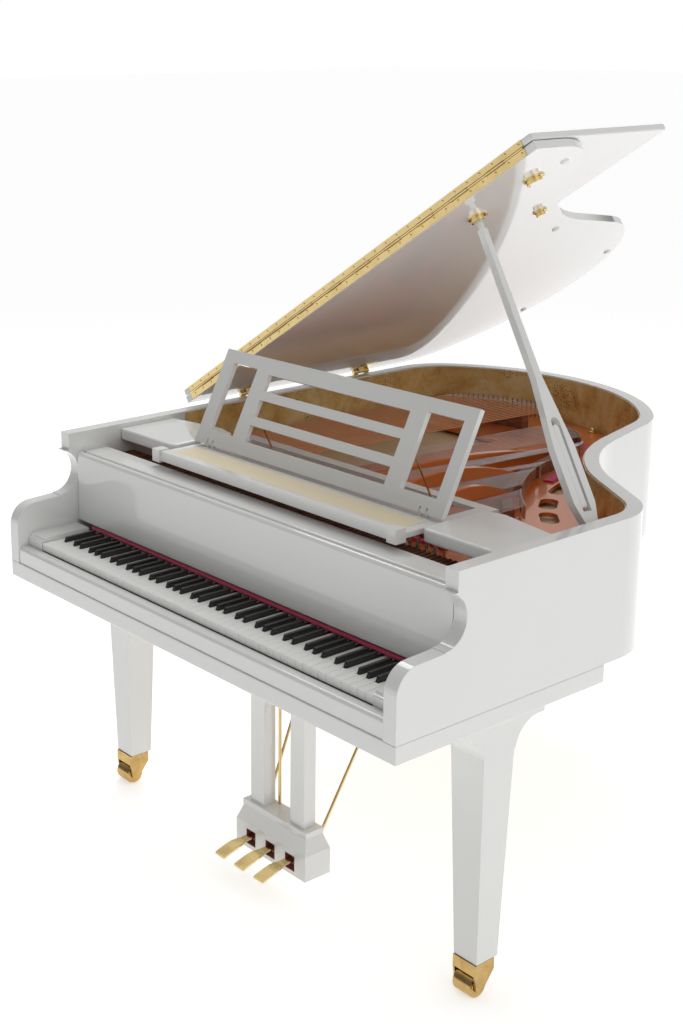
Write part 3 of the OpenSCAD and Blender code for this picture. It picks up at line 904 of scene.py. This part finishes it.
@dataclass
class Case:
    """The rim, its arms, the keybed and the white pieces round the keyboard."""

    plan: Plan
    rim_round: float = 0.007
    trim_round: float = 0.003

    def build(self) -> None:
        """Builds every piece of the case."""
        eased("rim", self.rim_round, Look.LACQUER, 4)
        eased("keybed", self.trim_round, Look.LACQUER)
        eased("key_slip", 0.002, Look.LACQUER)
        eased("key_blocks", 0.002, Look.LACQUER)
        eased("wings_and_ledge", 0.006, Look.LACQUER, 4)
        copied("rim_veneer").piece("rim_veneer_face", Look.BURL, "case", ["rim_veneer"])
        eased("braces", 0.003, Look.ACTION, 2)
        copied("liner").piece("liner_face", Look.SPRUCE, "case", ["liner"])
        copied("soundboard").piece("soundboard_face", Look.SPRUCE, "case", ["soundboard"])
        eased("bridges", 0.002, Look.TIMBER, 2)
        eased("action_rail", 0.002, Look.ACTION, 2)
        self.ribs()

    def ribs(self, count: int = 9, width: float = 0.022, depth: float = 0.018) -> None:
        """Spruce ribs under the soundboard.

        Args:
            count: How many there are.
            width: Their width.
            depth: Their depth.
        """
        low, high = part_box("soundboard")
        stock = Stock()
        for i in range(count):
            y = low.y + 0.12 + i * (high.y - low.y - 0.30) / (count - 1)
            left = self.plan.middle_x - self.plan.half_width + 0.13
            right = left + 0.85 - 0.035 * i
            stock.box((left, y - width / 2, low.z - depth), (right, y + width / 2, low.z), 0.004)
        stock.piece("soundboard_ribs", Look.SPRUCE, "case")


@dataclass
class Plate:
    """The iron plate with its bolts, pins, strings and felts."""

    plan: Plan
    wire: float = 0.0004
    spread: float = 0.0016
    pin_radius: float = 0.0034

    def build(self) -> None:
        """Builds every piece on the plate."""
        eased("iron_plate", 0.0035, Look.PLATE, 3)
        self.bolts()
        self.pins()
        self.strings()
        self.felts()

    def bolts(self) -> None:
        """Domed acorn nuts on washers."""
        nut = Stock()
        nut.turned([(0, 0.016), (0.005, 0.0148), (0.0082, 0.011), (0.009, 0.006), (0.0125, 0.0045),
                    (0.0125, 0.0), (0, 0)], Matrix.Identity(4), 20)
        nut.rod((0, 0, 0.003), (0, 0, 0.009), 0.0098, 6, rounding=0.0006)
        Stock().repeat(nut, standing("plate_bolts")).piece("plate_nuts", Look.BRASS, "case", ["plate_bolts"])

    def pins(self) -> None:
        """Tuning pins, each with its coil of wire."""
        pin = Stock()
        pin.rod((0, 0, 0), (0, 0, 0.024), self.pin_radius, 10)
        pin.rod((0, 0, 0.024), (0, 0, 0.034), self.pin_radius * 0.95, 4, self.pin_radius * 0.7)
        coil = Stock()
        for i in range(3):
            coil.rod((0, 0, 0.011 + i * 0.0013), (0, 0, 0.0122 + i * 0.0013), self.pin_radius + 0.0009, 10,
                     rounding=0.0003)
        places = standing("tuning_pins")
        Stock().repeat(pin, places).repeat(coil, places).piece("tuning_pins_wound", Look.STEEL, "case",
                                                               ["tuning_pins"])

    def ends(self, node: str) -> list[tuple[Vector, Vector]]:
        """The two ends of each string in a node.

        Args:
            node: The node's name.

        Returns:
            The (pin end, hitch end) of each string.
        """
        found = []
        for points in islands(node):
            near, far = min(p.y for p in points), max(p.y for p in points)
            cut = (near + far) / 2
            start, end = [p for p in points if p.y < cut], [p for p in points if p.y >= cut]
            found.append((middle(start), middle(end)))
        return found

    def strings(self) -> None:
        """Pairs of steel wires in the treble, and wound copper strings in the bass."""
        steel, hitch = Stock(), Stock()
        for start, end in self.ends("treble_strings"):
            aside = (end - start).cross(Vector((0, 0, 1))).normalized()
            for n in (-1, 1):
                shift = aside * n * self.spread
                tail = end + shift
                steel.rod(start + shift, tail, self.wire, 6)
                hitch.rod(tail - Vector((0, 0, 0.034)), tail + Vector((0, 0, 0.003)), 0.0016, 8)
        steel.piece("steel_strings", Look.STEEL, "case", ["treble_strings"], weighted=False)
        copper, cores = Stock(), Stock()
        for start, end in self.ends("bass_strings"):
            run = (end - start).normalized()
            copper.rod(start + run * 0.05, end - run * 0.05, 0.0019, 8)
            cores.rod(start, end, 0.0008, 6)
            hitch.rod(end - Vector((0, 0, 0.046)), end + Vector((0, 0, 0.006)), 0.0026, 8)
        copper.piece("wound_strings", Look.COPPER, "case", ["bass_strings"], weighted=False)
        cores.piece("wound_string_cores", Look.STEEL, "case", weighted=False)
        hitch.piece("hitch_pins", Look.STEEL, "case", weighted=False)

    def felts(self) -> None:
        """The capo bar, its agraffes, and the crimson felts."""
        eased("string_felts", 0.002, Look.FELT, 2)
        agraffes, bar = Stock(), Stock()
        starts = [start for start, _ in self.ends("treble_strings") + self.ends("bass_strings")]
        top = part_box("iron_plate")[0].z + 0.011
        for start in starts:
            agraffes.box((start.x - 0.0042, start.y + 0.002, top),
                         (start.x + 0.0042, start.y + 0.008, start.z + 0.004), 0.0015)
        agraffes.piece("agraffes", Look.BRASS, "case", weighted=False)
        left = min(s.x for s, _ in self.ends("treble_strings"))
        right = max(s.x for s, _ in self.ends("treble_strings"))
        y = starts[0].y + 0.034
        bar.box((left, y, starts[0].z + 0.002), (right + 0.02, y + 0.012, starts[0].z + 0.022), 0.005, 3)
        bar.piece("capo_bar", Look.PLATE, "case")


@dataclass
class Action:
    """The hammers behind the fallboard, and the felted rail over them."""

    plan: Plan

    def build(self) -> None:
        """Builds the hammers and the rail."""
        heads, felts = Stock(), Stock()
        for points in islands("hammers"):
            centre = middle(points)
            width = max(p.x for p in points) - min(p.x for p in points)
            low, high = centre.x - width / 2, centre.x + width / 2
            y0, top = min(p.y for p in points), max(p.z for p in points)
            heads.box((low + 0.002, y0 + 0.010, top - 0.047), (high - 0.002, y0 + 0.070, top - 0.039), 0.0012)
            felts.box((low, y0 - 0.001, top - 0.030), (high, y0 + 0.026, top), 0.0035)
        self.damper_rail()
        heads.piece("hammer_shanks", Look.ACTION, "case", ["hammers"], weighted=False)
        felts.piece("hammer_felts", Look.WOOL, "case", weighted=False)

    def damper_rail(self, notes: int = 88) -> None:
        """A dark felted rail over the hammers, with a slip for every note.

        Args:
            notes: How many slips there are.
        """
        rail, slips = Stock(), Stock()
        reach = self.plan.half_width - 0.0375
        left, right = self.plan.middle_x - reach, self.plan.middle_x + reach
        front, back = self.plan.at(0, 259, 0).y, self.plan.at(0, 343, 0).y
        top = self.plan.rim_top - 0.082
        rail.box((left, front, top - 0.016), (right, back, top), 0.003)
        rail.piece("damper_rail", Look.DARK_FELT, "case")
        pitch = (right - left) / notes
        for i in range(notes):
            x = left + (i + 0.5) * pitch
            slips.box((x - pitch * 0.24, front + 0.004, top - 0.0005),
                      (x + pitch * 0.24, back - 0.004, top + 0.004), 0.001, 1)
        slips.piece("damper_slips", Look.TIMBER, "case", weighted=False)


@dataclass
class Lid:
    """The main lid, the folded front flap and the brass between them."""

    plan: Plan
    rounding: float = 0.004
    screws: int = 33

    def build(self) -> None:
        """Builds every piece of the lid."""
        eased("main_lid", self.rounding, Look.LACQUER, 3)
        eased("front_flap", self.rounding, Look.LACQUER, 3)
        for node in ("fold_leaf_lid", "fold_leaf_flap"):
            copied(node).piece(f"{node}_brass", Look.BRASS, body_of(node), [node])
        self.fold_screws()
        for node in ("lid_hinge_leaves", "lid_hinge_base"):
            eased(node, 0.0006, Look.BRASS, 2)
        self.cups()
        self.bumpers()

    def fold_screws(self) -> None:
        """Rows of screws in both leaves of the long hinge."""
        fold, along = joint("flap_fold")
        normal = self.plan.lid.to_3x3() @ Vector((0, 0, 1))
        low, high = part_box("fold_leaf_lid")
        length = (high.x - low.x) / along.x
        start = fold - along * (fold.x - low.x) / along.x
        head = screw(0.0034, 0.0012)
        for name, drop, body in (("lid_hinge_screws", -0.0095, "lid"),
                                 ("flap_hinge_screws", 0.0115, "flap")):
            places = []
            for i in range(self.screws):
                spot = start + along * (length * (i + 0.5) / self.screws) + normal * drop
                spot.y = fold.y + 0.0016 + 0.0002
                places.append(frame_on(spot, (0, -1, 0), along))
            Stock().repeat(head, places).piece(name, Look.BRASS, body, weighted=False)

    def cups(self) -> None:
        """Turned flanges with three screws each, over the cups that take the prop's tip."""
        flanges = Stock()
        for points in islands("prop_cups"):
            local = [self.plan.lid.inverted() @ p for p in points]
            centre, top = middle(local), max(p.z for p in local)
            radius = (max(p.x for p in local) - min(p.x for p in local)) / 2
            middle_y = (max(p.y for p in local) + min(p.y for p in local)) / 2
            base = self.plan.lid @ Matrix.Translation((centre.x, middle_y, top))
            flanges.turned([(0, 0), (radius, 0), (radius, -0.0022), (radius * 0.93, -0.004),
                            (radius * 0.74, -0.0045), (radius * 0.70, -0.004), (0, -0.004)], base, 32)
            for turn in (30, 150, 270):
                side = base @ Matrix.Rotation(math.radians(turn), 4, "Z") @ Matrix.Translation(
                    (radius * 0.84, 0, -0.0042)) @ Matrix.Rotation(math.pi, 4, "X")
                flanges.repeat(screw(0.0024, 0.001), [side])
        flanges.piece("prop_cup_flanges", Look.BRASS, "lid")

    def bumpers(self) -> None:
        """Soft domes on the lid's underside."""
        stock = Stock()
        for points in islands("lid_bumpers"):
            local = [self.plan.lid.inverted() @ p for p in points]
            centre, top, low = middle(local), max(p.z for p in local), min(p.z for p in local)
            base = self.plan.lid @ Matrix.Translation((centre.x, centre.y, top))
            depth = low - top
            stock.turned([(0, 0), (0.010, 0), (0.0098, depth * 0.4), (0.0078, depth * 0.8), (0.004, depth),
                          (0, depth)], base, 24)
        stock.piece("lid_bumper_domes", Look.BUMPER, "lid", ["lid_bumpers"])


@dataclass
class Prop:
    """The long prop, the half prop nested in it, and their bracket."""

    plan: Plan

    def build(self) -> None:
        """Builds the prop's pieces."""
        eased("prop_stick", 0.0028, Look.LACQUER, 3)
        eased("half_stick", 0.0018, Look.LACQUER, 2)
        eased("prop_bracket", 0.001, Look.BRASS, 2)


@dataclass
class MusicDesk:
    """The sliding shelf, the pierced desk on it and the desk's struts."""

    plan: Plan

    def build(self) -> None:
        """Builds the shelf, the desk and the struts."""
        eased("music_shelf", 0.004, Look.LACQUER, 3)
        eased("music_desk", 0.0028, Look.LACQUER, 3)
        eased("desk_struts", 0.0008, Look.BRASS, 2)
        self.inlay()

    def inlay(self, rise: float = 0.0008) -> None:
        """The warm, pale leather on the shelf between its front bar and the desk's foot.

        Args:
            rise: How far it stands above the shelf.
        """
        low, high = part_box("music_shelf")
        top = self.plan.rim_top - 0.020
        front, back = self.plan.at(0, 262, 0).y, self.plan.at(0, 352, 0).y
        stock = Stock().box((low.x + 0.030, front, top), (high.x - 0.030, back, top + rise), 0.0003, 1)
        stock.piece("shelf_inlay", Look.INLAY, "shelf")


@dataclass
class Keyboard:
    """The fallboard and the keys."""

    plan: Plan

    def build(self) -> None:
        """Builds the fallboard and every key."""
        eased("fallboard", 0.004, Look.LACQUER, 4)
        for node in sorted(frame["nodes"]):
            if node.startswith(("naturals_", "key_")) and node not in ("key_slip", "key_blocks"):
                eased(node, 0.0009, Look.IVORY, 2)
            elif node.startswith("sharps_"):
                eased(node, 0.0016, Look.EBONY, 3)


@dataclass
class Legs:
    """Three tapered legs on brass casters."""

    plan: Plan

    def build(self) -> None:
        """Builds the legs, the forks and the wheels."""
        for name in ("bass", "treble", "tail"):
            eased(f"leg_{name}", 0.003, Look.LACQUER, 3)
            eased(f"fork_{name}", 0.0014, Look.CAST_BRASS, 3)
            self.wheel(name)

    def wheel(self, name: str) -> None:
        """A wide turned roller with a groove each side.

        Args:
            name: The leg that it is under.
        """
        low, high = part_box(f"wheel_{name}")
        centre, radius, half = (low + high) / 2, (high.z - low.z) / 2, (high.x - low.x) / 2
        profile = [(0.0041, -half), (radius * 0.62, -half), (radius * 0.66, -half + 0.0012),
                   (radius * 0.86, -half + 0.0012), (radius * 0.95, -half + 0.0008), (radius, -half + 0.004),
                   (radius, half - 0.004), (radius * 0.95, half - 0.0008), (radius * 0.86, half - 0.0012),
                   (radius * 0.66, half - 0.0012), (radius * 0.62, half), (0.0041, half)]
        stock = Stock().turned(profile, frame_on(centre, (1, 0, 0), (0, 1, 0)), 48)
        stock.piece(f"wheel_{name}_turned", Look.CAST_BRASS, body_of(f"wheel_{name}"), [f"wheel_{name}"])


@dataclass
class Lyre:
    """The pedal lyre, its braces and the three pedals."""

    plan: Plan
    slot_bottom: float = 0.052
    slot_top: float = 0.092
    hub_radius: float = 0.0068

    def build(self) -> None:
        """Builds the lyre, its rods and the pedals."""
        eased("lyre", 0.003, Look.LACQUER, 3)
        copied("lyre_braces").piece("lyre_rods", Look.BRASS, "case", ["lyre_braces"])
        self.linings()
        for name in ("left", "middle", "right"):
            self.pedal(name)

    def linings(self, half: float = 0.017, wall: float = 0.0012, lip: float = 0.0006) -> None:
        """Dark red felt round the slots that the pedals pass through.

        Args:
            half: Half a slot's width.
            wall: The felt's thickness.
            lip: How far it stands out of the slot.
        """
        stock = Stock()
        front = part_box("lyre")[0].y
        for name in ("left", "middle", "right"):
            low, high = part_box(f"pedal_{name}")
            x0, x1 = (low.x + high.x) / 2 - half, (low.x + high.x) / 2 + half
            z0, z1 = self.slot_bottom, self.slot_top
            y0, y1 = front - lip, front + 0.020
            stock.box((x0, y0, z0), (x0 + wall, y1, z1))
            stock.box((x1 - wall, y0, z0), (x1, y1, z1))
            stock.box((x0, y0, z0), (x1, y1, z0 + wall))
            stock.box((x0, y0, z1 - wall), (x1, y1, z1))
        stock.piece("pedal_slot_linings", Look.DARK_FELT, "case", weighted=False)

    def pedal(self, name: str) -> None:
        """A flat brass blade that crests and then droops to a square toe.

        Args:
            name: Which pedal it is.
        """
        low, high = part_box(f"pedal_{name}")
        middle_x = (low.x + high.x) / 2
        shape = ((0.0, 0.92, 0.0600, 0.004), (0.02, 1.0, 0.0605, 0.0070), (0.12, 1.0, 0.0655, 0.0072),
                 (0.22, 1.0, 0.0700, 0.0072), (0.31, 0.98, 0.0730, 0.0072), (0.38, 0.84, 0.0745, 0.0072),
                 (0.44, 0.60, 0.0755, 0.0072), (0.56, 0.56, 0.0770, 0.0072), (1.0, 0.56, 0.0780, 0.0072))
        length, half, edge = high.y - low.y, (high.x - low.x) / 2, 0.0013
        sections = []
        for share, width, height, thick in shape:
            y, w, t = low.y + share * length, width * half, thick / 2
            corners = ((-w, -t + edge), (-w, t - edge), (-w + edge, t), (w - edge, t), (w, t - edge),
                       (w, -t + edge), (w - edge, -t), (-w + edge, -t))
            sections.append([(middle_x + x, y, height + z) for x, z in corners])
        stock = Stock().loft(sections)
        hub = next(j["pos_m"] for j in frame["joints"] if j["name"] == f"pedal_{name}_press")
        stock.rod((middle_x - half * 0.6, hub[1], hub[2]), (middle_x + half * 0.6, hub[1], hub[2]),
                  self.hub_radius, 20, rounding=0.0006)
        stock.piece(f"pedal_{name}_blade", Look.BRASS, f"pedal_{name}", [f"pedal_{name}"])


def main() -> None:
    """Builds the studio and the piano, piece by piece."""
    plan = Plan.read()
    Viewpoint().build(plan)
    Studio().build()
    for assembly in (Case, Plate, Action, Lid, Prop, MusicDesk, Keyboard, Legs, Lyre):
        log.info("building the %s", assembly.__name__)
        assembly(plan).build()


if __name__ == "__main__":
    main()
